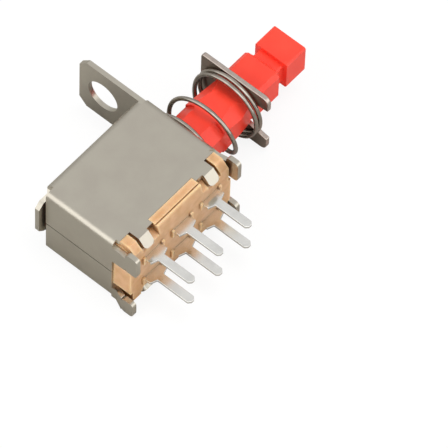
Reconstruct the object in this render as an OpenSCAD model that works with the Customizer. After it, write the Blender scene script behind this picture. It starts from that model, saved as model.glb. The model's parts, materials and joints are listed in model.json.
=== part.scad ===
// Six-terminal latching push switch: folded sheet frame, moulded base, sliding plunger.
// +X is the way the plunger points, +Z is the broad face, and the terminals point to -Y.
// The origin is the centre of the frame's underside.

/* [Frame] */
// Length of the folded frame along the plunger
case_l = 14.4; // [14:0.1:18]
// Width of the frame's top, from the ear side wall to its open edge
case_w = 9.4; // [9:0.1:12]
// Height of the frame over both broad faces
case_h = 9; // [8.8:0.1:11]
// Thickness of the frame's sheet
sheet_t = 0.5; // [0.4:0.05:0.6]
// Outer radius of the frame's bends
bend_r = 0.6; // [0.55:0.05:1]
// Length of the relief notches at the frame's corners
relief_l = 1.1; // [0.8:0.1:1.6]
// Set-in of the end flaps from the ear side wall's outer face
flap_inset = 0.8; // [0.7:0.05:1.2]
// Set-back of the end flaps from the base's inner corner
flap_setback = 0.55; // [0.3:0.05:1]
// Set-back of the sheet's open edge at its corners
edge_setback = 0.2; // [0.1:0.05:0.25]
// Reach of the sheet's open edge between the crimp tabs
edge_out = 0.15; // [0:0.05:0.3]
// Height of the seam between the two halves of each end
seam_z = 4.2; // [3.8:0.1:4.8]
// Width of that seam
seam_gap = 0.1; // [0.05:0.01:0.2]
// Radius of the rounded corners of the front opening
opening_r = 0.8; // [0.4:0.1:1.2]

/* [Back tab and windows] */
// How far the ear side wall's back tab stands past the frame
tab_out = 0.6; // [0.3:0.1:1.5]
// Lower end of the back tab
tab_z0 = 2.6; // [2:0.1:4]
// Upper end of the back tab
tab_z1 = 7.2; // [6:0.1:7.6]
// Slant of the back tab's corners
tab_slant = 0.6; // [0.3:0.1:0.8]
// Length of the rectangular window
window_l = 3.35; // [2:0.05:4]
// Height of the rectangular window
window_h = 3.6; // [2:0.1:4]
// Rectangular window's front edge, from the frame's front face
window_x = 7.35; // [7:0.05:8]
// Rectangular window's lower edge
window_z = 1.7; // [1.2:0.1:3]
// Strip between the two windows
window_strip = 1.25; // [0.8:0.05:2]
// Length of the pointed window
point_l = 3.5; // [2:0.1:4]
// Pointed window's lower corner
point_z = 2.05; // [1.6:0.05:3]
// Height of the pointed window beside the strip
point_h = 1.85; // [1.2:0.05:2.4]
// Height of the pointed window's tip over its lower corner
point_rise = 1.05; // [0.7:0.05:1.1]
// Radius of its arched lower side
arch_r = 2.65; // [2:0.05:4]
// Height of that arch
arch_h = 0.45; // [0.2:0.05:0.6]

/* [Mounting ear] */
// How far the ear stands out from the side wall
ear_out = 7.3; // [6.5:0.1:10]
// Height of the ear
ear_h = 7.05; // [6:0.05:7.6]
// Bore of the ear's screw hole
ear_hole_d = 3.6; // [2.5:0.1:4]
// Distance of the hole from the side wall's outer face
ear_hole_y = 4.4; // [3.2:0.1:5]
// Chamfer on the ear's outer corners
ear_chamfer = 0.9; // [0.4:0.1:1.5]

/* [Crimp tabs and corner legs] */
// Width of a crimp tab
crimp_w = 1.3; // [1:0.1:1.5]
// Distance from the frame's middle to the middle of a crimp tab
crimp_x = 4.55; // [4.4:0.05:4.7]
// Flat part of a crimp tab past the frame's open edge
crimp_flat = 0.65; // [0.5:0.05:0.8]
// Outer radius of a crimp tab's bend
crimp_r = 0.65; // [0.55:0.05:0.8]
// Angle that a crimp tab is pressed down over the base
crimp_angle = 48; // [40:1:60]
// Length of the pressed tongue
crimp_l = 1.05; // [0.8:0.05:1.2]
// Width of the ledge on a crimp tab's inner side
ledge_w = 0.85; // [0.5:0.05:1]
// Reach of that ledge
ledge_out = 0.7; // [0.4:0.05:0.8]
// Set-down of an upper leg's neck
neck_drop = 0.75; // [0.7:0.05:1]
// Height of an upper leg at its root
root_h = 2.3; // [1.8:0.1:2.5]
// Reach of a corner leg past the frame's open edge
leg_out = 2.5; // [2.3:0.05:3.5]
// Width of a corner leg's foot
foot_w = 1.45; // [1:0.1:1.7]
// Reach of an upper foot below the broad face
foot_h = 2.8; // [2:0.1:3]
// Height of a lower leg at its root
low_root_h = 1.4; // [1.2:0.1:2]
// Reach of a lower foot above the underside
low_foot_h = 2.05; // [1.6:0.05:2.4]
// How far the upper back leg is splayed out
upper_splay = 0.05; // [0.05:0.05:0.5]
// How far the front legs are splayed out
front_splay = 0.2; // [0.05:0.05:0.5]
// How far the lower back leg is splayed out
back_splay = 0.5; // [0.05:0.05:0.55]
// Radius of the rounded corners of tabs and feet
tip_r = 0.45; // [0.1:0.05:0.5]

/* [Terminal base] */
// How far the base stands past the frame's open edge
base_out = 1.6; // [1.2:0.1:2.4]
// Thickness of the base behind the frame's open edge
base_in = 2.1; // [1.6:0.1:2.3]
// Flat land before the base's chamfer
base_land = 1.3; // [1.1:0.05:1.4]
// Height of the base's chamfer
base_chamfer = 1.1; // [0.6:0.1:1.6]
// Width of the groove along that land
groove_w = 0.15; // [0.1:0.05:0.3]
// Width of the ridge outside the groove
ridge_w = 0.15; // [0.1:0.05:0.25]
// Flat land of the base's corner bosses
boss_land = 0.85; // [0.6:0.05:1]
// Chamfer of the corner bosses
boss_chamfer = 0.75; // [0.4:0.05:1]
// Set-back of the base's end pads from the frame's ends
pad_setback = 0.2; // [0.1:0.05:0.3]
// Gap between an end pad and the legs
pad_gap = 0.2; // [0.1:0.05:0.4]
// Length of the crimp tabs' pockets past the tabs
pocket_l = 0.5; // [0.2:0.1:1]
// Gap round the corner bosses
boss_gap = 0.15; // [0.1:0.05:0.3]
// Width of the lips at the terminals' shoulders
lip_w = 0.3; // [0.2:0.05:0.4]
// How far those lips stand out
lip_out = 0.25; // [0.1:0.05:0.4]
// Height of those lips
lip_h = 1; // [0.7:0.1:1.2]
// Width of the arm that carries the latch pin
arm_w = 1.3; // [1.2:0.1:1.5]
// Height of that arm
arm_h = 2.1; // [1.6:0.1:2.4]

/* [Terminals] */
// Distance between terminals along the frame
pin_pitch = 4; // [3.9:0.05:4.2]
// Distance between the two rows
row_pitch = 3.4; // [3.2:0.1:3.6]
// Reach of the terminals past the frame's open edge
pin_out = 6.55; // [4:0.1:9]
// Width of a terminal blade
pin_w = 0.9; // [0.6:0.05:1.2]
// Thickness of a terminal
pin_t = 0.3; // [0.2:0.05:0.4]
// Width of a terminal's shoulder
shoulder_w = 2.3; // [1.6:0.1:2.4]
// How far the shoulder stands out of the base
shoulder_out = 0.8; // [0.5:0.1:1.2]
// Length of the taper from the shoulder to the blade
taper_l = 0.25; // [0.3:0.05:0.6]
// Chamfer of the blade's end
end_chamfer = 0.28; // [0.15:0.01:0.3]
// Length of a terminal's contact blade inside the frame
blade_in = 1.6; // [1.2:0.1:1.9]

/* [Slider] */
// Full travel of the plunger
travel = 3.5; // [2.5:0.1:3.5]
// Travel at which the plunger locks
lock_travel = 2.5; // [2:0.1:2.6]
// Offset of the plunger's axis from the frame's middle
plunger_y = -0.35; // [-0.5:0.05:0]
// Width across the flats of the stem
stem_w = 4.8; // [4:0.1:5]
// Chamfer of the stem next to the frame
stem_chamfer = 1.2; // [0.8:0.1:1.3]
// Length of the stem's block, where its chamfer widens towards the fork
block_l = 2.4; // [1.5:0.1:3]
// Chamfer at the back of that block
block_chamfer = 0.8; // [0.5:0.05:1]
// Length of the slope behind the fork
slope_l = 1.75; // [1:0.05:3]
// Width of the plunger's tip
tip_w = 3.9; // [3:0.1:4]
// Height of the plunger's tip
tip_h = 3.6; // [3:0.05:4]
// Length of the plunger's tip
tip_l = 2.7; // [2:0.1:4]
// Length of the neck behind the tip
neck_l = 1.3; // [1:0.05:3]
// Depth of that neck on each side
neck_d = 0.5; // [0.2:0.05:0.8]
// Length of the plunger between the fork and the neck
shank_l = 3.55; // [2:0.05:5]
// Width of the shank
shank_w = 4.2; // [4:0.1:4.6]
// Height of the shank
shank_h = 3.8; // [3.6:0.05:4.2]
// Chamfer on the shank's long edges
shank_chamfer = 0.4; // [0.2:0.05:0.6]
// Length of the slope from the shank down to the neck
neck_slope = 0.4; // [0.2:0.05:0.6]
// Chamfer on the corners of the tip and the neck
corner_chamfer = 0.15; // [0.1:0.01:0.3]

/* [Spring and retaining fork] */
// Free height of the spring at rest
spring_l = 7.2; // [7:0.02:9]
// Outer diameter of the spring
spring_d = 7.8; // [7.4:0.1:8.2]
// Diameter of the spring's wire
wire_d = 0.45; // [0.4:0.05:0.7]
// Offset of the spring's axis from the plunger's
spring_off = 0.2; // [0:0.05:0.3]
// Distance between the two turns that lie on the fork
closed_pitch = 0.65; // [0.6:0.05:0.9]
// Where the open turn stands between the frame and the fork
open_share = 0.4; // [0.3:0.05:0.6]
// Rise of the open turn above the plunger
open_rise = 0.6; // [0:0.1:1]
// [0:0.1:0.6]
// Thickness of the fork's sheet
fork_t = 0.5; // [0.4:0.05:0.8]
// Width of the fork along its slot
fork_w = 8.2; // [7.4:0.1:9]
// Height of the fork across its slot
fork_h = 8.05; // [7.6:0.05:9]
// Height of the fork's slot, which holds the plunger
slot_h = 3.3; // [3:0.05:3.6]
// How far the fork hangs below the plunger's axis
fork_drop = 0.25; // [0:0.05:0.4]
// Radius of the fork's outer corners
fork_r = 0.35; // [0.2:0.05:0.6]
// Width of a prong's rounded tip
prong_w = 1.5; // [1:0.1:2]
// Distance from the plunger's axis to the start of the slot's flared mouth
mouth_y = 0.5; // [0.2:0.1:1]

/* [Latch and contacts] */
// Diameter of the latch pin's wire
latch_d = 0.5; // [0.4:0.05:0.55]
// Distance between the latch pin's ends
latch_l = 6.1; // [6:0.1:6.3]
// Offset of the latch pin from the frame's middle
latch_y = -0.4; // [-0.5:0.05:-0.3]
// Swing of the latch pin between the two lanes of the cam
latch_swing = 12; // [10:1:13]
// Depth of the cam groove
cam_d = 0.8; // [0.6:0.05:0.85]
// Thickness of the moving contacts
clip_t = 0.2; // [0.12:0.02:0.24]
// Height of the moving contacts
clip_h = 1.2; // [1:0.05:1.3]
// Length of their flared mouth
clip_mouth = 0.7; // [0.5:0.05:0.8]
// Flare of that mouth
clip_flare = 0.15; // [0.05:0.05:0.2]
// Overlap of a moving contact's end with a terminal's blade
wipe = 0.25; // [0.15:0.05:0.3]

/* [Clearances] */
// Gap between the slider and what guides it
slide_gap = 0.1; // [0.05:0.01:0.15]
// Gap between parts that are pressed or folded together
seat_gap = 0.02; // [0.01:0.01:0.05]
// Gap round the latch pin in its bore and its lanes
pin_gap = 0.05; // [0.03:0.01:0.08]

/* [Hidden] */
half_l = case_l / 2;
half_w = case_w / 2;
mid_z = case_h / 2;
eps = 0.01;
past = 1;
wall_y = half_w - sheet_t;                  // inner face of the ear side wall
flap_y0 = -half_w + flap_setback;
flap_y1 = half_w - flap_inset;
roof_z = case_h - sheet_t;                  // inner face of the frame's top
edge_y = -half_w + edge_setback;            // open edge of the frame's top and bottom at the corners
lip_y = -half_w - edge_out;                 // open edge between the crimp tabs
face_y = -half_w - base_out;                // outer face of the base
floor_y = -half_w + base_in;                // inner face of the base
base_x = half_l - sheet_t - seat_gap;
leg_y = -half_w - leg_out;
step_y = leg_y + foot_w;                    // where a leg's foot starts
upper_leg_z = case_h - max(neck_drop + root_h, foot_h);  // heights that the legs leave free between them
lower_leg_z = max(seam_gap + low_root_h, low_foot_h);
crimp_y = -half_w - crimp_flat;             // bend line of the crimp tabs
tab_x0 = crimp_x - crimp_w / 2;
tab_x1 = crimp_x + crimp_w / 2;
ledge_x = tab_x0 - ledge_w;
row_a = mid_z + row_pitch / 2;
row_b = mid_z - row_pitch / 2;
slider_x1 = half_l - sheet_t - slide_gap;   // shoulder that rests on the front flaps
slider_top = roof_z - latch_d - 2 * pin_gap;
arm_x0 = -base_x;
latch_x = arm_x0 + arm_w / 2;
latch_z = slider_top + pin_gap + latch_d / 2;
latch_tip_x = latch_x + latch_l;
slider_x0 = arm_x0 + arm_w + travel + slide_gap;
fork_x = half_l + spring_l;
fork_y1 = plunger_y + fork_w / 2;
shank_x = fork_x + fork_t;
neck_x = shank_x + shank_l;
tip_x = neck_x + neck_l;
stem_x = max(fork_x - slope_l - block_l, base_x + travel + slide_gap);   // where the stem's block starts
slot_x1 = pin_pitch + pin_w / 2 + travel + slide_gap;    // front end of the slots for the blades
clip_x = lock_travel - pin_pitch + pin_w / 2 - wipe;     // bridges the back blades once it is locked
clip_l = 2 * pin_pitch - pin_w - lock_travel + 2 * wipe;
clip_y0 = floor_y + 2 * slide_gap;
clip_y1 = clip_y0 + blade_in + clip_t;

// A block between two corners
module slab(x0, x1, y0, y1, z0, z1) {
    translate([x0, y0, z0]) cube([x1 - x0, y1 - y0, z1 - z0]);
}

// A profile drawn in Y and Z, run along X
module along_x(x0, x1) {
    translate([x0, 0, 0]) rotate([90, 0, 90]) linear_extrude(x1 - x0) children();
}

// A profile drawn in X and Z, run along Y
module along_y(y0, y1) {
    translate([0, y1, 0]) rotate([90, 0, 0]) linear_extrude(y1 - y0) children();
}

// A rectangle with true round corners
module round_rect(x0, x1, y0, y1, r) {
    translate([x0 + r, y0]) square([x1 - x0 - 2 * r, y1 - y0]);
    translate([x0, y0 + r]) square([x1 - x0, y1 - y0 - 2 * r]);
    for (x = [x0 + r, x1 - r], y = [y0 + r, y1 - r])
        translate([x, y]) circle(r, $fn = 48);
}

// The same feature at both ends of the frame
module both_ends() {
    children();
    mirror([1, 0, 0]) children();
}

// The same feature on both broad faces
module both_faces() {
    children();
    translate([0, 0, case_h]) mirror([0, 0, 1]) children();
}

// Ring of sheet with rounded bends
module bent_ring(x0, x1, y0, y1) {
    difference() {
        round_rect(x0, x1, y0, y1, bend_r);
        round_rect(x0 + sheet_t, x1 - sheet_t, y0 + sheet_t, y1 - sheet_t, bend_r - sheet_t);
    }
}

// Everything of a crimp tab past its bend line, or of the pocket it lies in, where g is the clearance
module crimp_tongue(g, length) {
    translate([0, crimp_y, case_h - crimp_r]) {
        along_x(tab_x0 - g, tab_x1 + g) intersection() {
            difference() {
                circle(crimp_r, $fn = 64);
                circle(crimp_r - sheet_t - g, $fn = 64);
            }
            polygon([[eps, 0], [eps, 2 * crimp_r],
                     [-2 * crimp_r * sin(crimp_angle + 1), 2 * crimp_r * cos(crimp_angle + 1)]]);
        }
        rotate([crimp_angle, 0, 0]) translate([0, 0, crimp_r - sheet_t - g]) linear_extrude(sheet_t + g)
            round_rect(tab_x0 - g, tab_x1 + g, -length, 2 * tip_r, tip_r);
    }
}

// Tab pressed down over the base, with a ledge on its inner side
module crimp_tab() {
    intersection() {
        crimp_tongue(0, crimp_l);
        slab(tab_x0, tab_x1, -2 * case_w, crimp_y + eps, 0, case_h);
    }
    slab(tab_x0, tab_x1, crimp_y, edge_y + eps, roof_z, case_h);
    slab(ledge_x, tab_x0 + eps, -half_w - ledge_out, edge_y + eps, roof_z, case_h);
}

// Upper leg: a neck that is set down by drop, a foot, and a plan that is joggled out by splay
module corner_leg(splay, drop, root, foot) {
    x0 = half_l - sheet_t;
    intersection() {
        along_x(x0 - past, half_l + splay + past) {
            polygon([[flap_y0 + eps, case_h - drop], [step_y - eps, case_h - drop],
                     [step_y - eps, case_h - foot], [flap_y0 + eps, case_h - drop - root]]);
            round_rect(leg_y, step_y, case_h - foot, case_h - seam_gap, tip_r);
        }
        linear_extrude(case_h)
            polygon([[x0, flap_y0 + past], [x0, -half_w], [x0 + splay, step_y], [x0 + splay, leg_y - past],
                     [half_l + splay, leg_y - past], [half_l + splay, step_y], [half_l, -half_w],
                     [half_l, flap_y0 + past]]);
    }
}

module upper_legs() {
    corner_leg(front_splay, neck_drop, root_h, foot_h);
    mirror([1, 0, 0]) corner_leg(upper_splay, neck_drop, root_h, foot_h);
}

module lower_legs() {
    corner_leg(front_splay, seam_gap, low_root_h, low_foot_h);
    mirror([1, 0, 0]) corner_leg(back_splay, seam_gap, low_root_h, low_foot_h);
}

module side_windows() {
    x1 = half_l - window_x;
    x2 = x1 + window_strip;
    slab(x1 - window_l, x1, wall_y - past, half_w + past, window_z, window_z + window_h);
    along_y(wall_y - past, half_w + past) difference() {
        polygon([[x2, point_z], [x2, point_z + point_h], [x2 + point_l, point_z + point_rise]]);
        translate([x2 + point_l / 2, point_z + arch_h - arch_r]) circle(arch_r, $fn = 64);
    }
}

module mounting_ear() {
    z0 = mid_z - ear_h / 2;
    z1 = mid_z + ear_h / 2;
    y1 = half_w + ear_out;
    c = ear_chamfer;
    along_x(half_l - sheet_t, half_l)
        polygon([[half_w - bend_r, z0], [y1 - c, z0], [y1, z0 + c], [y1, z1 - c], [y1 - c, z1],
                 [half_w - bend_r, z1]]);
}

module frame() {
    color("#b3aca0") difference() {
        union() {
            // U of top, side wall and bottom
            along_x(-half_l + relief_l, half_l - relief_l) difference() {
                round_rect(-2 * half_w, half_w, 0, case_h, bend_r);
                round_rect(-3 * half_w, wall_y, sheet_t, roof_z, bend_r - sheet_t);
                translate([-3 * half_w, -past]) square([3 * half_w + edge_y, case_h + 2 * past]);
            }
            // Top, bottom and the four end flaps
            along_y(flap_y0, flap_y1) bent_ring(-half_l, half_l, 0, case_h);
            both_faces() {
                slab(-half_l + bend_r, half_l - bend_r, edge_y, flap_y0 + eps, roof_z, case_h);
                slab(-tab_x0 - eps, tab_x0 + eps, lip_y, edge_y + eps, roof_z, case_h);
            }
            // Side wall's ends, with the back tab
            slab(-half_l + relief_l - eps, half_l - bend_r, wall_y, half_w, mid_z - ear_h / 2, mid_z + ear_h / 2);
            along_y(wall_y, half_w)
                polygon([[-half_l + relief_l, tab_z0 - tab_slant], [-half_l - tab_out + tab_slant, tab_z0],
                         [-half_l - tab_out, tab_z0 + tab_slant], [-half_l - tab_out, tab_z1 - tab_slant],
                         [-half_l, tab_z1], [-half_l + relief_l, tab_z1]]);
            // Bend from the side wall into the ear
            translate([0, 0, mid_z - ear_h / 2]) linear_extrude(ear_h) difference() {
                translate([half_l - bend_r - eps, wall_y]) square([bend_r + eps, sheet_t + eps]);
                translate([half_l - bend_r, wall_y + bend_r]) difference() {
                    translate([0, -bend_r - eps]) square(bend_r + past);
                    circle(bend_r, $fn = 48);
                    translate([-past, 0]) square(3 * past);
                }
            }
            mounting_ear();
            both_faces() both_ends() crimp_tab();
            upper_legs();
            translate([0, 0, case_h]) mirror([0, 0, 1]) lower_legs();
        }
        // Seams between the upper and lower flaps
        both_ends() slab(half_l - sheet_t - eps, half_l + past, flap_y0 - past, flap_y1,
                         seam_z - seam_gap / 2, seam_z + seam_gap / 2);
        // Front opening for the stem
        along_x(half_l - sheet_t - past, half_l + past) {
            w = stem_w / 2 + slide_gap;
            round_rect(plunger_y - w, plunger_y + w, mid_z - w, mid_z + w, opening_r);
        }
        // Screw hole in the ear
        translate([half_l - sheet_t - past, half_w + ear_hole_y, mid_z]) rotate([0, 90, 0])
            cylinder(d = ear_hole_d, h = sheet_t + 2 * past, $fn = 64);
        side_windows();
    }
}

// Section of the base from y outwards, z0 in from both broad faces, with a flat land and a chamfer
module base_profile(y, z0, land, chamfer) {
    y1 = -half_w - land;
    polygon([[y, z0], [y1, z0], [face_y, chamfer], [face_y, case_h - chamfer], [y1, case_h - z0],
             [y, case_h - z0]]);
}

// Lips at both ends of a terminal's shoulder
module terminal_lips(x, z) {
    for (side = [-1, 1])
        translate([x + side * (shoulder_w + lip_w) / 2, 0, z])
            slab(-lip_w / 2, lip_w / 2, face_y - lip_out, face_y + eps, -lip_h / 2, lip_h / 2);
}

module terminal_base() {
    groove_y = -half_w - base_land + ridge_w;
    bend_c = bend_r - sheet_t;
    color("#d2a066") difference() {
        union() {
            along_x(-base_x, base_x) base_profile(floor_y, sheet_t + seat_gap, 0, base_chamfer);
            // Land between the crimp tabs
            along_x(-ledge_x + seat_gap, ledge_x - seat_gap)
                base_profile(lip_y - seat_gap, eps, base_land, base_chamfer);
            // Corner bosses
            both_ends() along_x(tab_x1 + 2 * boss_gap, base_x - boss_gap)
                base_profile(edge_y - seat_gap, eps, boss_land, boss_chamfer);
            // End pads between the legs
            both_ends() slab(base_x - eps, half_l - pad_setback, face_y, flap_y0 - seat_gap,
                             lower_leg_z + pad_gap, upper_leg_z - pad_gap);
            for (x = [-pin_pitch, 0, pin_pitch], z = [row_a, row_b]) terminal_lips(x, z);
            slab(arm_x0, arm_x0 + arm_w, floor_y - eps, latch_y + arm_w / 2, slider_top - arm_h, slider_top);
        }
        // Corners that clear the bends of the frame's end flaps
        both_faces() both_ends() translate([base_x, 0, roof_z - seat_gap]) rotate([0, 45, 0])
            cube([bend_c, case_w, bend_c], center = true);
        // Groove along the land
        both_faces() slab(-ledge_x, ledge_x, groove_y, groove_y + groove_w, case_h - groove_w, case_h + past);
        // Pockets that the crimp tabs are pressed into
        both_faces() both_ends() {
            crimp_tongue(slide_gap, crimp_l + pocket_l);
            slab(tab_x0 - slide_gap, tab_x1 + slide_gap, face_y - past, crimp_y, roof_z - slide_gap, case_h + past);
            translate([0, crimp_y, case_h - crimp_r]) rotate([crimp_angle, 0, 0])
                slab(tab_x0 - slide_gap, tab_x1 + slide_gap, -crimp_l - pocket_l, 0, crimp_r - eps, 3 * crimp_r);
        }
        // Slots for the terminals
        for (x = [-pin_pitch, 0, pin_pitch], z = [row_a, row_b])
            slab(x - shoulder_w / 2 - seat_gap, x + shoulder_w / 2 + seat_gap, face_y - past, floor_y + past,
                 z - pin_t / 2 - seat_gap, z + pin_t / 2 + seat_gap);
        // Groove that the stem slides in
        chamfered(slider_x1 - travel - slide_gap, base_x + past, stem_w + 2 * slide_gap, stem_w + 2 * slide_gap,
                  stem_chamfer);
        // Pivot bore for the latch pin
        translate([latch_x, latch_y, slider_top - arm_h - past])
            cylinder(d = latch_d + 2 * pin_gap, h = arm_h + 2 * past, $fn = 48);
    }
}

module terminal(x, z) {
    y0 = -half_w - pin_out;
    y1 = face_y - shoulder_out;
    w = pin_w / 2;
    s = shoulder_w / 2;
    c = end_chamfer;
    half = [[w - c, y0], [w, y0 + c], [w, y1 - taper_l], [s, y1], [s, floor_y], [w, floor_y],
            [w, floor_y + blade_in]];
    color("#d6d6d0") translate([x, 0, z - pin_t / 2]) linear_extrude(pin_t) polygon(both_sides(half));
}

// Half an outline, closed by its mirror image across the Y axis
function both_sides(half) = concat(half, [for (i = [len(half) - 1:-1:0]) [-half[i][0], half[i][1]]]);

// Block with four chamfered edges, between two stations along X
module chamfered(x0, x1, w, h, c) {
    along_x(x0, x1) translate([plunger_y, mid_z])
        polygon([[-w / 2 + c, -h / 2], [w / 2 - c, -h / 2], [w / 2, -h / 2 + c], [w / 2, h / 2 - c],
                 [w / 2 - c, h / 2], [-w / 2 + c, h / 2], [-w / 2, h / 2 - c], [-w / 2, -h / 2 + c]]);
}

// Cam groove that the latch pin runs in, with the notched island that holds it
module cam_groove() {
    r = latch_d / 2 + pin_gap;
    dy = latch_l * sin(latch_swing);
    dx = latch_l * (1 - cos(latch_swing));
    x0 = latch_tip_x - dx;
    x1 = latch_tip_x + travel;
    notch_x = latch_tip_x + lock_travel;
    island_w = dy - 2 * r;
    translate([0, latch_y, slider_top - cam_d]) linear_extrude(cam_d + past) difference() {
        round_rect(x0 - r, x1 + r, -r, dy + r, r);
        difference() {
            translate([0, r])
                round_rect(x0 + 2 * r + slide_gap, notch_x - slide_gap, 0, island_w, island_w / 2 - eps);
            translate([notch_x + r / 2, dy / 2]) circle(r, $fn = 32);
        }
    }
}

// Slot for the terminals' blades, with the pocket that carries a moving contact
module contact_pocket(z) {
    slot = pin_t / 2 + slide_gap;
    pocket = clip_h / 2 + slide_gap;
    slab(slider_x0 - past, slot_x1, floor_y - past, clip_y0 + blade_in, z - slot, z + slot);
    slab(clip_x - pin_gap, clip_x + clip_l + pin_gap, floor_y - past, clip_y1 + pin_gap, z - pocket, z + pocket);
}

module slider() {
    slope_x = fork_x - slope_l;
    groove_h = slot_h - slide_gap;
    inner_w = tip_w - 2 * neck_d;
    inner_h = tip_h - 2 * neck_d;
    neck_mid = neck_x + neck_slope;
    c = corner_chamfer;
    color("#f0402c") difference() {
        union() {
            slab(slider_x0, slider_x1, floor_y + slide_gap, wall_y - slide_gap, sheet_t + slide_gap, slider_top);
            // Stem through the frame, then its block, then the slope down to the fork
            chamfered(slider_x1 - eps, stem_x + eps, stem_w, stem_w, stem_chamfer);
            hull() {
                chamfered(stem_x, stem_x + eps, stem_w, stem_w, block_chamfer);
                chamfered(slope_x - eps, slope_x, stem_w, stem_w, stem_chamfer - eps);
            }
            hull() {
                chamfered(slope_x - eps, slope_x, stem_w, stem_w, stem_chamfer - eps);
                chamfered(fork_x - eps, fork_x, shank_w, shank_h, shank_chamfer);
            }
            // Groove that the fork sits in
            chamfered(fork_x - eps, shank_x + eps, tip_w, groove_h, c);
            chamfered(shank_x, neck_x, shank_w, shank_h, shank_chamfer);
            // Neck, then the tip that takes a push-on cap
            hull() {
                chamfered(neck_x - eps, neck_x, shank_w, shank_h, shank_chamfer);
                chamfered(neck_mid, neck_mid + eps, inner_w, inner_h, c);
            }
            chamfered(neck_mid, tip_x + eps, inner_w, inner_h, c);
            chamfered(tip_x, tip_x + tip_l, tip_w, tip_h, c);
        }
        cam_groove();
        contact_pocket(row_a);
        contact_pocket(row_b);
    }
}

// U-shaped clip that grips the blades of two neighbouring terminals
module moving_contact(z) {
    g = pin_t / 2 + pin_gap;
    w = clip_h / 2;
    half = [[w, clip_y1], [g + clip_t, clip_y0 + clip_mouth], [g + clip_flare + clip_t, clip_y0],
            [g + clip_flare, clip_y0], [g, clip_y0 + clip_mouth], [w - clip_t, clip_y1 - clip_t]];
    color("#d9b878") translate([clip_x, 0, z]) rotate([90, 0, 90]) linear_extrude(clip_l)
        rotate(-90) mirror([1, 0, 0]) polygon(both_sides(half));
}

module latch_pin() {
    r = latch_d / 2;
    color("#c4c2bc") {
        translate([latch_x, latch_y, latch_z]) rotate([0, 90, 0]) cylinder(r = r, h = latch_l, $fn = 32);
        for (x = [latch_x, latch_tip_x]) translate([x, latch_y, latch_z]) sphere(r, $fn = 32);
        translate([latch_x, latch_y, slider_top - arm_h]) cylinder(r = r, h = latch_z - slider_top + arm_h, $fn = 32);
        translate([latch_tip_x, latch_y, slider_top - cam_d + pin_gap])
            cylinder(r = r, h = latch_z - slider_top + cam_d - pin_gap, $fn = 32);
    }
}

// Centre line of the wire: turns on the frame and on the fork, and an open turn that climbs mostly under
// the plunger. A turn starts on the ear's side.
spring_x0 = half_l + wire_d / 2 + pin_gap;
spring_x1 = fork_x - wire_d / 2 - pin_gap;
open_x = spring_x0 + open_share * (spring_x1 - spring_x0);
first_turn = -0.2;
last_turn = 3.7;
coil = [[first_turn, spring_x0], [0.5, spring_x0], [1, open_x - open_rise / 2], [1.5, open_x + open_rise / 2],
        [2, spring_x1 - closed_pitch], [2.75, spring_x1 - closed_pitch], [3, spring_x1], [last_turn, spring_x1]];
ease = 0.05;
function spring_x(t) = (lookup(t - 2 * ease, coil) + lookup(t - ease, coil) + lookup(t, coil)
    + lookup(t + ease, coil) + lookup(t + 2 * ease, coil)) / 5;

module return_spring() {
    rings = 28;
    sides = 8;
    n = round((last_turn - first_turn) * rings);
    mid_r = (spring_d - wire_d) / 2;
    points = [for (i = [0:n]) let (t = first_turn + i / rings, a = 360 * t)
        for (k = [0:sides - 1]) let (b = 360 * k / sides, r = mid_r + wire_d / 2 * cos(b))
            [spring_x(t) + wire_d / 2 * sin(b), plunger_y + spring_off + r * cos(a), mid_z + r * sin(a)]];
    faces = concat([[for (k = [0:sides - 1]) k]],
        [for (i = [0:n - 1], k = [0:sides - 1]) let (a = i * sides, b = a + sides, q = (k + 1) % sides)
            [a + k, b + k, b + q, a + q]],
        [[for (k = [sides - 1:-1:0]) n * sides + k]]);
    color("#8d8983") polyhedron(points, faces);
}

module retaining_fork() {
    y0 = fork_y1 - fork_w;
    h = fork_h / 2;
    s = slot_h / 2;
    root = plunger_y + tip_w / 2 + slide_gap;
    color("#98938a") along_x(fork_x, shank_x) translate([0, mid_z]) difference() {
        union() {
            round_rect(y0, fork_y1 - fork_r, -h - fork_drop, h - fork_drop, prong_w / 2 - eps);
            round_rect(plunger_y, fork_y1, -h - fork_drop, h - fork_drop, fork_r);
        }
        translate([y0 - past, -s]) square([root - y0 + past, 2 * s]);
        polygon([[y0 - past, -h - fork_drop + prong_w], [plunger_y - mouth_y, -s], [plunger_y - mouth_y, s],
                 [y0 - past, h - fork_drop - prong_w]]);
    }
}

frame();
terminal_base();
terminal(-pin_pitch, row_a);  // terminal_a1
terminal(0, row_a);  // terminal_a2
terminal(pin_pitch, row_a);  // terminal_a3
terminal(-pin_pitch, row_b);  // terminal_b1
terminal(0, row_b);  // terminal_b2
terminal(pin_pitch, row_b);  // terminal_b3
slider();
moving_contact(row_a);  // moving_contact_a
moving_contact(row_b);  // moving_contact_b
latch_pin();
return_spring();
retaining_fork();
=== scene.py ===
import bpy
import bmesh
import json
import math
from mathutils import Matrix, Vector


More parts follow.
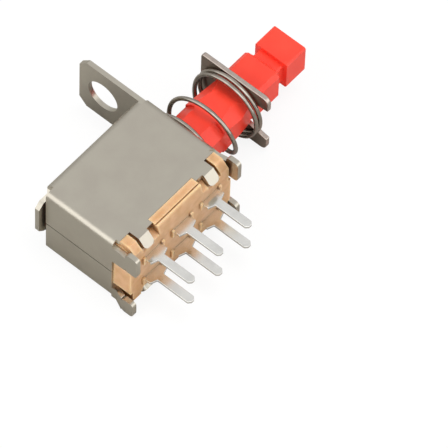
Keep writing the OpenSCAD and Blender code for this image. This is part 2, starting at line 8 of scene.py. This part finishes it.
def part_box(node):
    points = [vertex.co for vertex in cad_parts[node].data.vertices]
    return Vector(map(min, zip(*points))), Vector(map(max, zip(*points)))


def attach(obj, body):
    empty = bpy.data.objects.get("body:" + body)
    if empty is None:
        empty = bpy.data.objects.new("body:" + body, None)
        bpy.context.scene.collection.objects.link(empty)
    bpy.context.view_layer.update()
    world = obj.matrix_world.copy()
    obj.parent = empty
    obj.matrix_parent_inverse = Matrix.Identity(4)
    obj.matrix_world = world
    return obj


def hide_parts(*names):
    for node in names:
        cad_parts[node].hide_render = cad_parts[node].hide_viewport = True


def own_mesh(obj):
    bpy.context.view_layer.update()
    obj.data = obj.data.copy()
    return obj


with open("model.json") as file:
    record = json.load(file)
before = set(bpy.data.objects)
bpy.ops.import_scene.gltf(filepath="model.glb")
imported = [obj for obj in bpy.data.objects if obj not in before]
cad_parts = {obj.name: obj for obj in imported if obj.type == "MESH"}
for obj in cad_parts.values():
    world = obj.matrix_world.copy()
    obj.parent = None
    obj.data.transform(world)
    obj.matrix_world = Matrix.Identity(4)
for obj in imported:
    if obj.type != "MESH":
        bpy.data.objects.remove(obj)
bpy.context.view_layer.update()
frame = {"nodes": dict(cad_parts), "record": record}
nodes = frame["nodes"]
mm = 0.001
print("frame loaded:", len(nodes), "nodes")

colourA, colourB, colourOut = 6, 7, 2    # a Mix node's sockets when it mixes colours
numberA, numberB, numberOut = 2, 3, 0    # and when it mixes numbers; its share is socket 0


def toLinear(hexColour):
    channels = [int(hexColour[i:i + 2], 16) / 255 for i in (1, 3, 5)]
    return tuple(c / 12.92 if c <= 0.04045 else ((c + 0.055) / 1.055) ** 2.4 for c in channels) + (1.0,)


# Another node's output is linked, any other value is set on the socket or, failing that, on the node
def addNode(tree, kind, settings=None):
    node = tree.nodes.new(kind)
    for key, value in (settings or {}).items():
        if isinstance(value, bpy.types.NodeSocket):
            tree.links.new(value, node.inputs[key])
        elif isinstance(key, int) or key in node.inputs:
            node.inputs[key].default_value = value
        else:
            setattr(node, key, value)
    return node


def newMaterial(name):
    material = bpy.data.materials.new(name)
    material.use_nodes = True
    material.node_tree.nodes.clear()
    return material, material.node_tree


# Cold-rolled steel strip, stamped, then barrel nickel-plated: a warm, soft-edged grey with a faint cloud
nickelPlatedSteel = {
    "name": "nickelPlatedSteel",
    "shader": {"Metallic": 1.0},
    "colours": ("#c7c0b3", "#ccc6b8"),
    "cloud": {"sizeMm": 2.2, "detail": 4.0},
    "roughness": (0.3, 0.36),
    "roughOver": "cloud",
    "grain": {"sizeMm": 0.2, "stretch": (1, 0.4, 1), "detail": 4.0, "roughness": 0.65},  # rolling marks,
    "grainDepthMm": 0.03,     # drawn coarser and deeper than real so that they show
    "grainShow": 0.6,
}

# Silver over brass strip, blanked: bright and pale, a little uneven where the plate is thin
silverPlatedBrass = {
    "name": "silverPlatedBrass",
    "shader": {"Metallic": 1.0},
    "colours": ("#ebeae6", "#f6f5f1"),
    "cloud": {"sizeMm": 1.4},
    "roughness": (0.14, 0.24),
    "roughOver": "cloud",
    "grain": {"sizeMm": 0.08, "stretch": (0.3, 1, 1), "detail": 2.0},  # rolling marks, coarser than real
    "grainDepthMm": 0.003,
    "grainShow": 0.3,
}

# Acetal, injection moulded from a polished tool: saturated red, satin gloss, light carries a little way in
redAcetal = {
    "name": "redAcetal",
    "shader": {"IOR": 1.48, "Subsurface Weight": 0.12, "Subsurface Radius": (1.0, 0.25, 0.15),
               "Subsurface Scale": 0.6 * mm},
    "colours": ("#ee3d2b", "#f44633"),
    "cloud": {"sizeMm": 3.0},
    "roughness": (0.28, 0.38),
    "roughOver": "grain",
    "grain": {"sizeMm": 0.12, "detail": 2.0},   # what polishing left on the tool
    "grainDepthMm": 0.004,
    "grainShow": 0.25,
}

# Natural PBT with glass fibre, injection moulded: amber and milky, and the fibre breaks up its gloss
amberPbt = {
    "name": "amberPbt",
    "shader": {"IOR": 1.55, "Subsurface Weight": 0.3, "Subsurface Radius": (1.0, 0.6, 0.3),
               "Subsurface Scale": 0.6 * mm},
    "colours": ("#c8996a", "#d4a77c"),
    "cloud": {"sizeMm": 0.8},
    "roughness": (0.28, 0.42),
    "roughOver": "grain",
    "grain": {"sizeMm": 0.15, "roughness": 0.7},  # fibre under the skin, drawn coarser than real
    "grainDepthMm": 0.01,
    "grainShow": 0.3,
}

# Hard-drawn spring wire, nickel-plated: darker and shinier than the strip, with fine drawing marks
springSteel = {
    "name": "springSteel",
    "shader": {"Metallic": 1.0},
    "colours": ("#a39b91", "#b3aba1"),
    "cloud": {"sizeMm": 0.8},
    "roughness": (0.1, 0.18),
    "roughOver": "cloud",
    "grain": {"sizeMm": 0.07, "detail": 2.0},   # marks of the die, drawn coarser than real
    "grainDepthMm": 0.003,
    "grainShow": 0.3,
}

# Spring steel sheet, blanked and tumbled, nickel-plated: a brown-grey, duller than the wire
forkSteel = {
    "name": "forkSteel",
    "shader": {"Metallic": 1.0},
    "colours": ("#988b80", "#a7998e"),
    "cloud": {"sizeMm": 1.6, "detail": 4.0},
    "roughness": (0.3, 0.42),
    "roughOver": "cloud",
    "grain": {"sizeMm": 0.1, "detail": 2.0},    # dents of tumbling
    "grainDepthMm": 0.004,
    "grainShow": 0.35,
}

# The same sheet where the press sheared it: bright all round the fork's outline
shearedSteel = {
    "name": "shearedSteel",
    "shader": {"Metallic": 1.0},
    "colours": ("#c3b5ac", "#cfc1b7"),
    "cloud": {"sizeMm": 0.7},
    "roughness": (0.22, 0.34),
    "roughOver": "cloud",
    "grain": {"sizeMm": 0.08, "stretch": (0.2, 1, 1), "detail": 2.0},  # lines of the shear, through the sheet
    "grainDepthMm": 0.004,
    "grainShow": 0.35,
}

# Bronze strip faced with silver, rolled smooth: a pale gold without relief
contactStrip = {
    "name": "contactStrip",
    "shader": {"Metallic": 1.0},
    "colours": ("#d0b27c", "#ddc492"),
    "cloud": {"sizeMm": 0.9},
    "roughness": (0.25, 0.38),
    "roughOver": "cloud",
}

drift = (0.35, 0.65)          # where in its cloud a finish leaves the first colour and reaches the second


# Uneven marks in the piece's own space, as coarse as sizeMm and drawn out where stretch is under 1
def addMarks(tree, sizeMm, stretch=(1, 1, 1), detail=3.0, roughness=0.5):
    where = addNode(tree, "ShaderNodeTexCoord").outputs["Object"]
    scale = [s / (sizeMm * mm) for s in stretch]
    mapped = addNode(tree, "ShaderNodeMapping", {"Scale": scale, "Vector": where}).outputs["Vector"]
    return addNode(tree, "ShaderNodeTexNoise", {"Scale": 1.0, "Detail": detail, "Roughness": roughness,
                                                "Vector": mapped}).outputs["Fac"]


# Colour drifts over the finish's cloud, roughness over its cloud or grain, and the grain stands in relief
def makeMaterial(finish):
    material, tree = newMaterial(finish["name"])
    marks = {part: addMarks(tree, **finish[part]) for part in ("cloud", "grain") if part in finish}
    ramp = addNode(tree, "ShaderNodeValToRGB", {"Fac": marks["cloud"]})
    for stop, position, colour in zip(ramp.color_ramp.elements, drift, finish["colours"]):
        stop.position = position
        stop.color = toLinear(colour)
    smooth, dull = finish["roughness"]
    gloss = addNode(tree, "ShaderNodeMapRange", {"Value": marks[finish["roughOver"]],
                                                 "To Min": smooth, "To Max": dull})
    settings = dict(finish["shader"])
    settings["Base Color"] = ramp.outputs["Color"]
    settings["Roughness"] = gloss.outputs["Result"]
    if "grain" in finish:
        settings["Normal"] = addNode(tree, "ShaderNodeBump", {
            "Height": marks["grain"], "Distance": finish["grainDepthMm"] * mm,
            "Strength": finish["grainShow"]}).outputs["Normal"]
    shader = addNode(tree, "ShaderNodeBsdfPrincipled", settings)
    addNode(tree, "ShaderNodeOutputMaterial", {"Surface": shader.outputs["BSDF"]})
    return material


# Painted light and shade on the milky plastic: a painted pale highlight on thin edges, standing in for light
# that shines through them, and painted brown shade in recesses and next to other parts
amberPaintedLight = {
    "paintedEdgeHighlight": "#f2d3a4",
    "edgeReachMm": 0.35,          # how near the far side of a wall is where the painted highlight shows
    "paintedRecessShade": "#8c5822",
    "recessReachMm": 1.6,         # how near a wall is that closes a recess in and brings on the painted shade
    "recessOpen": (0.15, 0.75),   # share of open sky at which the painted shade is full and at which the colour is plain
    "rays": 8,                    # sent out from each point to find that
}


# Paints the thin-edge highlight and the recess shade into the amber's base colour
def paintEdgeGlowAndRecessShade(material):
    tree = material.node_tree
    body = tree.nodes["Principled BSDF"].inputs["Base Color"]
    plain = body.links[0].from_socket
    solid = addNode(tree, "ShaderNodeAmbientOcclusion", {
        "inside": True, "only_local": True, "samples": amberPaintedLight["rays"],
        "Distance": amberPaintedLight["edgeReachMm"] * mm}).outputs["AO"]
    thin = addNode(tree, "ShaderNodeMapRange", {"Value": solid, "To Min": 1.0, "To Max": 0.0})
    edgeHighlighted = addNode(tree, "ShaderNodeMix", {"data_type": "RGBA", 0: thin.outputs["Result"], colourA: plain,
                                            colourB: toLinear(amberPaintedLight["paintedEdgeHighlight"])})
    sky = addNode(tree, "ShaderNodeAmbientOcclusion", {
        "samples": amberPaintedLight["rays"], "Distance": amberPaintedLight["recessReachMm"] * mm}).outputs["AO"]
    closed, clear = amberPaintedLight["recessOpen"]
    lit = addNode(tree, "ShaderNodeMapRange", {"Value": sky, "From Min": closed, "From Max": clear})
    recessShaded = addNode(tree, "ShaderNodeMix", {"data_type": "RGBA", 0: lit.outputs["Result"],
                                           colourA: toLinear(amberPaintedLight["paintedRecessShade"]),
                                           colourB: edgeHighlighted.outputs[colourOut]})
    tree.links.new(recessShaded.outputs[colourOut], body)


materials = {                 # by the slot that the frame's record gives each node
    "nickel_plated_steel": makeMaterial(nickelPlatedSteel),
    "silver_plated_brass": makeMaterial(silverPlatedBrass),
    "red_moulding": makeMaterial(redAcetal),
    "amber_moulding": makeMaterial(amberPbt),
    "wire_steel": makeMaterial(springSteel),
    "fork_steel": makeMaterial(forkSteel),
    "contact_strip": makeMaterial(contactStrip),
}
# the amber moulding gets painted highlight on thin edges and painted shade in recesses
paintEdgeGlowAndRecessShade(materials["amber_moulding"])
record = frame["record"]
slotOf = {row["node"]: row["material_slot"] for row in record["subparts"]}
bodyOf = {node: body for body, members in record["behaviour"]["bodies"].items() for node in members}
for name, obj in nodes.items():
    obj.data.materials.clear()
    obj.data.materials.append(materials[slotOf[name]])
print("materials made:", len(materials))


def place(obj, nodeName):
    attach(obj, bodyOf[nodeName])
    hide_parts(nodeName)


# Faces shade smoothly, except over edges that turn by more than sharpAngle
def addShaded(name, mesh, sharpAngle):
    mesh.polygons.foreach_set("use_smooth", [True] * len(mesh.polygons))
    mesh.set_sharp_from_angle(angle=math.radians(sharpAngle))
    obj = bpy.data.objects.new(name, mesh)
    bpy.context.scene.collection.objects.link(obj)
    return obj


bends = {                     # mm: the frame's front and side bends are softer than the rear one
    "made": 0.6,              # outer radius in the CAD solid
    "soft": 0.9,              # and as the press leaves it
    "top": 9.0,               # outer face of the top
    "walls": ((0, 7.2), (1, 4.7)),   # axis and outer face of the front wall and of the ear's side wall
    "foldY": -4.15,           # where the front bend ends at the open side
    "core": 0.02,             # what is nearer to the bend's axis than this stays
    "slack": 0.001,           # how far a point of a flat may lie off it
}


# Widens the bend between the top and one wall, from both sheet faces, without moving the flats
def softenBend(bm, axis, wall):
    made, soft, top, slack = bends["made"], bends["soft"], bends["top"], bends["slack"]
    for vertex in bm.verts:
        across, up = vertex.co[axis] - (wall - made), vertex.co.z - (top - made)
        reach = math.hypot(across, up)
        outside = vertex.co[axis] > wall + slack or vertex.co.y < bends["foldY"] - slack
        if outside or min(across, up) < -slack or reach < bends["core"]:
            continue
        grow = (reach + soft - made) / reach
        vertex.co[axis] = wall - soft + across * grow
        vertex.co.z = top - soft + up * grow


edgeRounds = {                # mm: how far each piece's edges are broken, 0 where they stay as cut or moulded
    "frame": 0,
    "terminal_base": 0,
    "slider": 0.01,
    "retaining_fork": 0.1,
}
for row in "ab":
    for column in "123":
        edgeRounds["terminal_" + row + column] = 0.05
finishing = {
    "weld": 0.0005,           # mm: points of the CAD mesh that count as one
    "flat": 0.6,              # degrees up to which neighbouring faces are joined
    "edge": 25,               # degrees from which an edge is broken
    "steps": 2,               # facets across a broken edge
    "fullness": 0.6,          # its profile, a little fuller than an arc
    "sliver": 0.002,          # mm: what the rounding leaves smaller than this is closed up
    "flake": 0.0005,          # and a face thinner than this is dropped
    "shade": 40,              # degrees from which an edge still shades sharp
}


# A copy of a CAD solid with its bends softened and its edges broken, as the press and tumbling leave them
def finishPiece(nodeName, edge):
    mesh = nodes[nodeName].data.copy()
    mesh.name = nodeName + "_finished"
    bm = bmesh.new()
    bm.from_mesh(mesh)
    bmesh.ops.scale(bm, vec=(1 / mm,) * 3, verts=bm.verts)
    bmesh.ops.remove_doubles(bm, verts=bm.verts, dist=finishing["weld"])
    bmesh.ops.dissolve_limit(bm, angle_limit=math.radians(finishing["flat"]), verts=bm.verts, edges=bm.edges)
    if nodeName == "frame":
        for axis, wall in bends["walls"]:
            softenBend(bm, axis, wall)
    if edge:
        least = math.radians(finishing["edge"])
        sharp = [e for e in bm.edges if e.is_manifold and e.calc_face_angle(0) > least]
        bmesh.ops.bevel(bm, geom=sharp, offset=edge, offset_type="OFFSET", segments=finishing["steps"],
                        profile=finishing["fullness"], affect="EDGES", clamp_overlap=True, miter_outer="ARC")
    bmesh.ops.remove_doubles(bm, verts=bm.verts, dist=finishing["sliver"])
    bmesh.ops.dissolve_degenerate(bm, dist=finishing["flake"], edges=bm.edges)
    bmesh.ops.scale(bm, vec=(mm,) * 3, verts=bm.verts)
    bm.to_mesh(mesh)
    bm.free()
    obj = addShaded(nodeName + "_finished", mesh, finishing["shade"])
    weighted = obj.modifiers.new("faceWeights", "WEIGHTED_NORMAL")
    weighted.keep_sharp = True
    place(obj, nodeName)
    return obj


faceAcross = 0.8              # how squarely a face of the fork looks along the plunger; the rest is sheared


def shearFork(fork):
    fork.data.materials.append(makeMaterial(shearedSteel))
    for face in fork.data.polygons:
        if abs(face.normal.x) < faceAcross:
            face.material_index = 1


finished = {nodeName: finishPiece(nodeName, edge) for nodeName, edge in edgeRounds.items()}
shearFork(finished["retaining_fork"])
print("pieces finished:", len(finished))

spring = {
    "outer": 7.8,             # mm, as the CAD solid's
    "wire": 0.45,
    "pair": 0.55,             # distance between the two turns on the fork
    "openShare": 0.4,         # where the open turn stands between the ends
    "openRise": 0.6,          # mm that it climbs over half a turn
    "firstTurn": -0.2,        # a turn starts on the ear's side and goes up over the plunger
    "lastTurn": 3.7,
    "leavesFrame": 0.5,       # at which turn the wire leaves the frame
    "open": (1, 1.5),         # between which turns it is the open turn
    "paired": (2, 2.75),      # and the first one of the pair
    "onFork": 3,              # and from which turn it lies on the fork
    "ease": 0.12,             # turns before and after a place over which the climb is evened out
    "easeSteps": 4,           # places on either side that are averaged for that
    "ringsPerTurn": 60,
    "sides": 16,              # of the wire's section
    "shade": 50,              # degrees from which an edge still shades sharp, so only at the wire's ends
}


# Where the wire's centre line is along the axis at a turn; it climbs mostly under the plunger
def springX(turn, x0, x1):
    middle = x0 + spring["openShare"] * (x1 - x0)
    rise = spring["openRise"] / 2
    pairX = x1 - spring["pair"]
    opens, closes = spring["open"]
    pairs, parts = spring["paired"]
    far = spring["lastTurn"] + 1
    stations = [(-far, x0), (spring["leavesFrame"], x0), (opens, middle - rise), (closes, middle + rise),
                (pairs, pairX), (parts, pairX), (spring["onFork"], x1), (far, x1)]
    steps = spring["easeSteps"]
    total = 0
    for step in range(-steps, steps + 1):
        t = turn + step / steps * spring["ease"]
        for (t0, low), (t1, high) in zip(stations, stations[1:]):
            if t0 <= t < t1:
                total += low + (high - low) * (t - t0) / (t1 - t0)
    return total / (2 * steps + 1)


def makeSpring():
    low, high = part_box("return_spring")
    half = spring["wire"] / 2
    radius = spring["outer"] / 2 - half
    axisY = high[1] / mm - spring["outer"] / 2
    axisZ = (low[2] + high[2]) / 2 / mm
    x0 = low[0] / mm + half
    x1 = high[0] / mm - half
    sides = spring["sides"]
    rings = int((spring["lastTurn"] - spring["firstTurn"]) * spring["ringsPerTurn"])
    bm = bmesh.new()
    last = None
    for i in range(rings + 1):
        turn = spring["firstTurn"] + i / spring["ringsPerTurn"]
        x = springX(turn, x0, x1)
        a = 2 * math.pi * turn
        ring = []
        for k in range(sides):
            b = 2 * math.pi * k / sides
            r = radius + half * math.cos(b)
            point = Vector((x + half * math.sin(b), axisY + r * math.cos(a), axisZ + r * math.sin(a)))
            ring.append(bm.verts.new(point * mm))
        if last:
            for k in range(sides):
                q = (k + 1) % sides
                bm.faces.new((last[k], last[q], ring[q], ring[k]))
        else:
            bm.faces.new(ring[::-1])
        last = ring
    bm.faces.new(last)
    bmesh.ops.recalc_face_normals(bm, faces=bm.faces)
    mesh = bpy.data.meshes.new("coilSpring")
    bm.to_mesh(mesh)
    bm.free()
    mesh.materials.append(materials["wire_steel"])
    obj = addShaded("coil_spring", mesh, spring["shade"])
    place(obj, "return_spring")
    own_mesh(obj)


makeSpring()
print("spring wound")

# Light tent: pale floor, glowing walls and three soft lamps
studio = {
    "floorSize": 1.6,            # metres
    "floorZ": -0.00002,          # just under the piece, so that nothing flickers
    "floorColour": "#f4f4f2",
    "mirroredFloor": "#aaa8a3",  # what the metals mirror of the floor, darker so that they keep their tone
    "mirroredPaintedShade": "#878581",  # and of the painted shade behind the ear, which stands in for the object's shadow on the floor there
    "shadeAt": (0.0045, 0.0075, 0),   # metres: the painted shade's middle
    "shadeReach": (0.0025, 0.0075),   # and from how near to how far it fades
    "seen": 1.0,                 # the background as the camera sees it
    "shadow": 0.12,              # how much of the object's shadow the white floor keeps
    "fill": 0.62,                # what lights the object from all round
    "tentTop": 0.755,            # what the metals mirror of the tent's top
    "tentWall": 0.62,            # and of its walls
    "tentFold": (0.38, 0.7),     # heights between which the wall turns into the top
}
patches = [                      # brighter places that only the metals mirror; reach is in cosines
    {"at": (-0.84, 0.34, 0.42), "reach": (0.55, 0.93), "strength": 0.88},   # the light line on the rear bend
    {"at": (0.42, -0.87, 0.25), "reach": (0.75, 0.95), "strength": 1.0},    # the pressed tabs
    {"at": (-0.43, -0.45, 0.78), "reach": (0.92, 0.98), "strength": 1.7},   # the glint along the wire
    {"at": (-0.42, -0.80, 0.42), "reach": (0.94, 0.985), "strength": 0.9},  # and a weaker one on its flank
]
white = (1, 1, 1, 1)


def makeFloor():
    bpy.ops.mesh.primitive_plane_add(size=studio["floorSize"], location=(0, 0, studio["floorZ"]))
    floor = bpy.context.object
    floor.name = "floor"
    material, tree = newMaterial("paleFloor")
    rays = addNode(tree, "ShaderNodeLightPath").outputs
    where = addNode(tree, "ShaderNodeNewGeometry").outputs["Position"]
    away = addNode(tree, "ShaderNodeVectorMath", {"operation": "DISTANCE", 0: where, 1: studio["shadeAt"]})
    near, far = studio["shadeReach"]
    clear = addNode(tree, "ShaderNodeMapRange", {"interpolation_type": "SMOOTHSTEP", "From Min": near,
                                                 "From Max": far, "Value": away.outputs["Value"]})
    # what the metals mirror of the floor, with painted shade near the ear
    mirrored = addNode(tree, "ShaderNodeMix", {"data_type": "RGBA", 0: clear.outputs["Result"],
                                               colourA: toLinear(studio["mirroredPaintedShade"]),
                                               colourB: toLinear(studio["mirroredFloor"])})
    colour = addNode(tree, "ShaderNodeMix", {"data_type": "RGBA", 0: rays["Is Glossy Ray"],
                                             colourA: toLinear(studio["floorColour"]),
                                             colourB: mirrored.outputs[colourOut]})
    matte = addNode(tree, "ShaderNodeBsdfDiffuse", {"Color": colour.outputs[colourOut]})
    glow = addNode(tree, "ShaderNodeEmission", {"Color": white, "Strength": studio["seen"]})
    share = addNode(tree, "ShaderNodeMath", {"operation": "MULTIPLY", 0: rays["Is Camera Ray"],
                                             1: 1 - studio["shadow"]})
    mix = addNode(tree, "ShaderNodeMixShader", {0: share.outputs[0], 1: matte.outputs[0],
                                                2: glow.outputs[0]})
    addNode(tree, "ShaderNodeOutputMaterial", {"Surface": mix.outputs[0]})
    floor.data.materials.append(material)


def makeWorld():
    world = bpy.data.worlds.new("lightTent")
    bpy.context.scene.world = world
    world.use_nodes = True
    tree = world.node_tree
    tree.nodes.clear()
    rays = addNode(tree, "ShaderNodeLightPath").outputs
    where = addNode(tree, "ShaderNodeTexCoord").outputs["Generated"]
    height = addNode(tree, "ShaderNodeSeparateXYZ", {"Vector": where}).outputs["Z"]
    wallEnd, topStart = studio["tentFold"]
    tent = addNode(tree, "ShaderNodeMapRange", {
        "interpolation_type": "SMOOTHSTEP", "Value": height, "From Min": wallEnd, "From Max": topStart,
        "To Min": studio["tentWall"], "To Max": studio["tentTop"]}).outputs["Result"]
    for patch in patches:
        centre = Vector(patch["at"]).normalized()
        towards = addNode(tree, "ShaderNodeVectorMath", {"operation": "DOT_PRODUCT", 0: where, 1: centre})
        rim, core = patch["reach"]
        glow = addNode(tree, "ShaderNodeMapRange", {
            "interpolation_type": "SMOOTHSTEP", "Value": towards.outputs["Value"], "From Min": rim,
            "From Max": core, "To Min": 0.0, "To Max": patch["strength"]}).outputs["Result"]
        tent = addNode(tree, "ShaderNodeMath", {"operation": "ADD", 0: tent, 1: glow}).outputs[0]
    strength = studio["fill"]
    for ray, value in (("Is Glossy Ray", tent), ("Is Camera Ray", studio["seen"]),
                       ("Is Transmission Ray", studio["seen"])):
        strength = addNode(tree, "ShaderNodeMix", {"data_type": "FLOAT", 0: rays[ray], numberA: strength,
                                                   numberB: value}).outputs[numberOut]
    light = addNode(tree, "ShaderNodeBackground", {"Color": white, "Strength": strength})
    addNode(tree, "ShaderNodeOutputWorld", {"Surface": light.outputs[0]})


lamps = [                     # place and size in metres, power in watts
    {"name": "overhead", "at": (0.05, -0.05, 0.4), "size": 0.25, "power": 0.9},
    {"name": "leftFront", "at": (-0.32, 0.1, 0.22), "size": 0.2, "power": 0.55},
    {"name": "rightFront", "at": (0.1, -0.35, 0.15), "size": 0.2, "power": 0.2},
]
lampAim = (0.004, -0.001, 0.004)


def makeLamps():
    for lamp in lamps:
        data = bpy.data.lights.new(lamp["name"], "AREA")
        data.size = lamp["size"]
        data.energy = lamp["power"]
        obj = bpy.data.objects.new(lamp["name"], data)
        bpy.context.scene.collection.objects.link(obj)
        obj.location = lamp["at"]
        aim = Vector(lampAim) - obj.location
        obj.rotation_euler = aim.to_track_quat("-Z", "Y").to_euler()
        obj.visible_glossy = False        # the tent is what the metals mirror


view = {
    "at": (-0.252156, -0.212638, 0.510710),       # metres
    "right": (0.650880, -0.758840, 0.022749),     # which way the camera's right and up point
    "up": (0.629671, 0.556342, 0.542216),
    "lens": 526.0,                                # mm, over the sensor's width
    "sensor": 36,
    "clip": (0.01, 10),                           # metres
}


def makeCamera():
    data = bpy.data.cameras.new("camera")
    data.lens = view["lens"]
    data.sensor_width = view["sensor"]
    data.clip_start, data.clip_end = view["clip"]
    camera = bpy.data.objects.new("camera", data)
    bpy.context.scene.collection.objects.link(camera)
    right = Vector(view["right"]).normalized()
    up = (Vector(view["up"]) - right * right.dot(Vector(view["up"]))).normalized()
    back = right.cross(up)
    turn = Matrix((right, up, back)).transposed().to_4x4()
    camera.matrix_world = Matrix.Translation(view["at"]) @ turn
    bpy.context.scene.camera = camera


makeFloor()
makeWorld()
makeLamps()
makeCamera()
bpy.context.scene.view_settings.view_transform = "Standard"
print("studio set")
